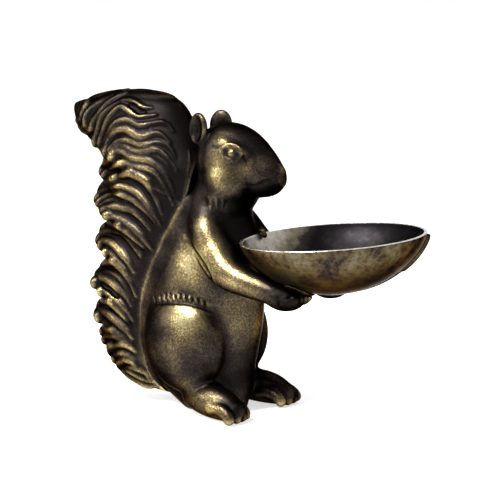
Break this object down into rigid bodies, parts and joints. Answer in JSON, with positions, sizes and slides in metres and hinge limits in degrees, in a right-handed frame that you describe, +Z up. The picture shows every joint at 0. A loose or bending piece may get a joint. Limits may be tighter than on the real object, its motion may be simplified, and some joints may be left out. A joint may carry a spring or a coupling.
{
  "type": "squirrel dish figurine",
  "caption": "Cast metal squirrel that sits on its haunches and holds out a smooth round dish, with a large curled tail behind it.",
  "frame": {"origin": "on the ground under the middle of the body, on the middle plane", "axes": "+X is where the squirrel looks, +Y is its left, +Z is up"},
  "size_m": [0.2567, 0.1153, 0.203],
  "materials": {
    "body_cast": "antique, rubbed on the high places",
    "tail_cast": "antique, rubbed on the high places",
    "dish_metal": "satin, stained",
    "leaf_cast": "antique, dark",
    "fastener_steel": "satin",
    "plate_steel": "satin",
    "felt": "matte"
  },
  "bodies": {
    "root": {"body_right_shell": "body_cast", "body_left_shell": "body_cast", "seam_dowels": "fastener_steel", "tail": "tail_cast", "tail_screws": "fastener_steel", "dish": "dish_metal", "leaf_cradle": "leaf_cast", "dish_screws": "fastener_steel", "base_plate": "plate_steel", "base_screws": "fastener_steel", "base_felt": "felt"}
  },
  "joints": []
}
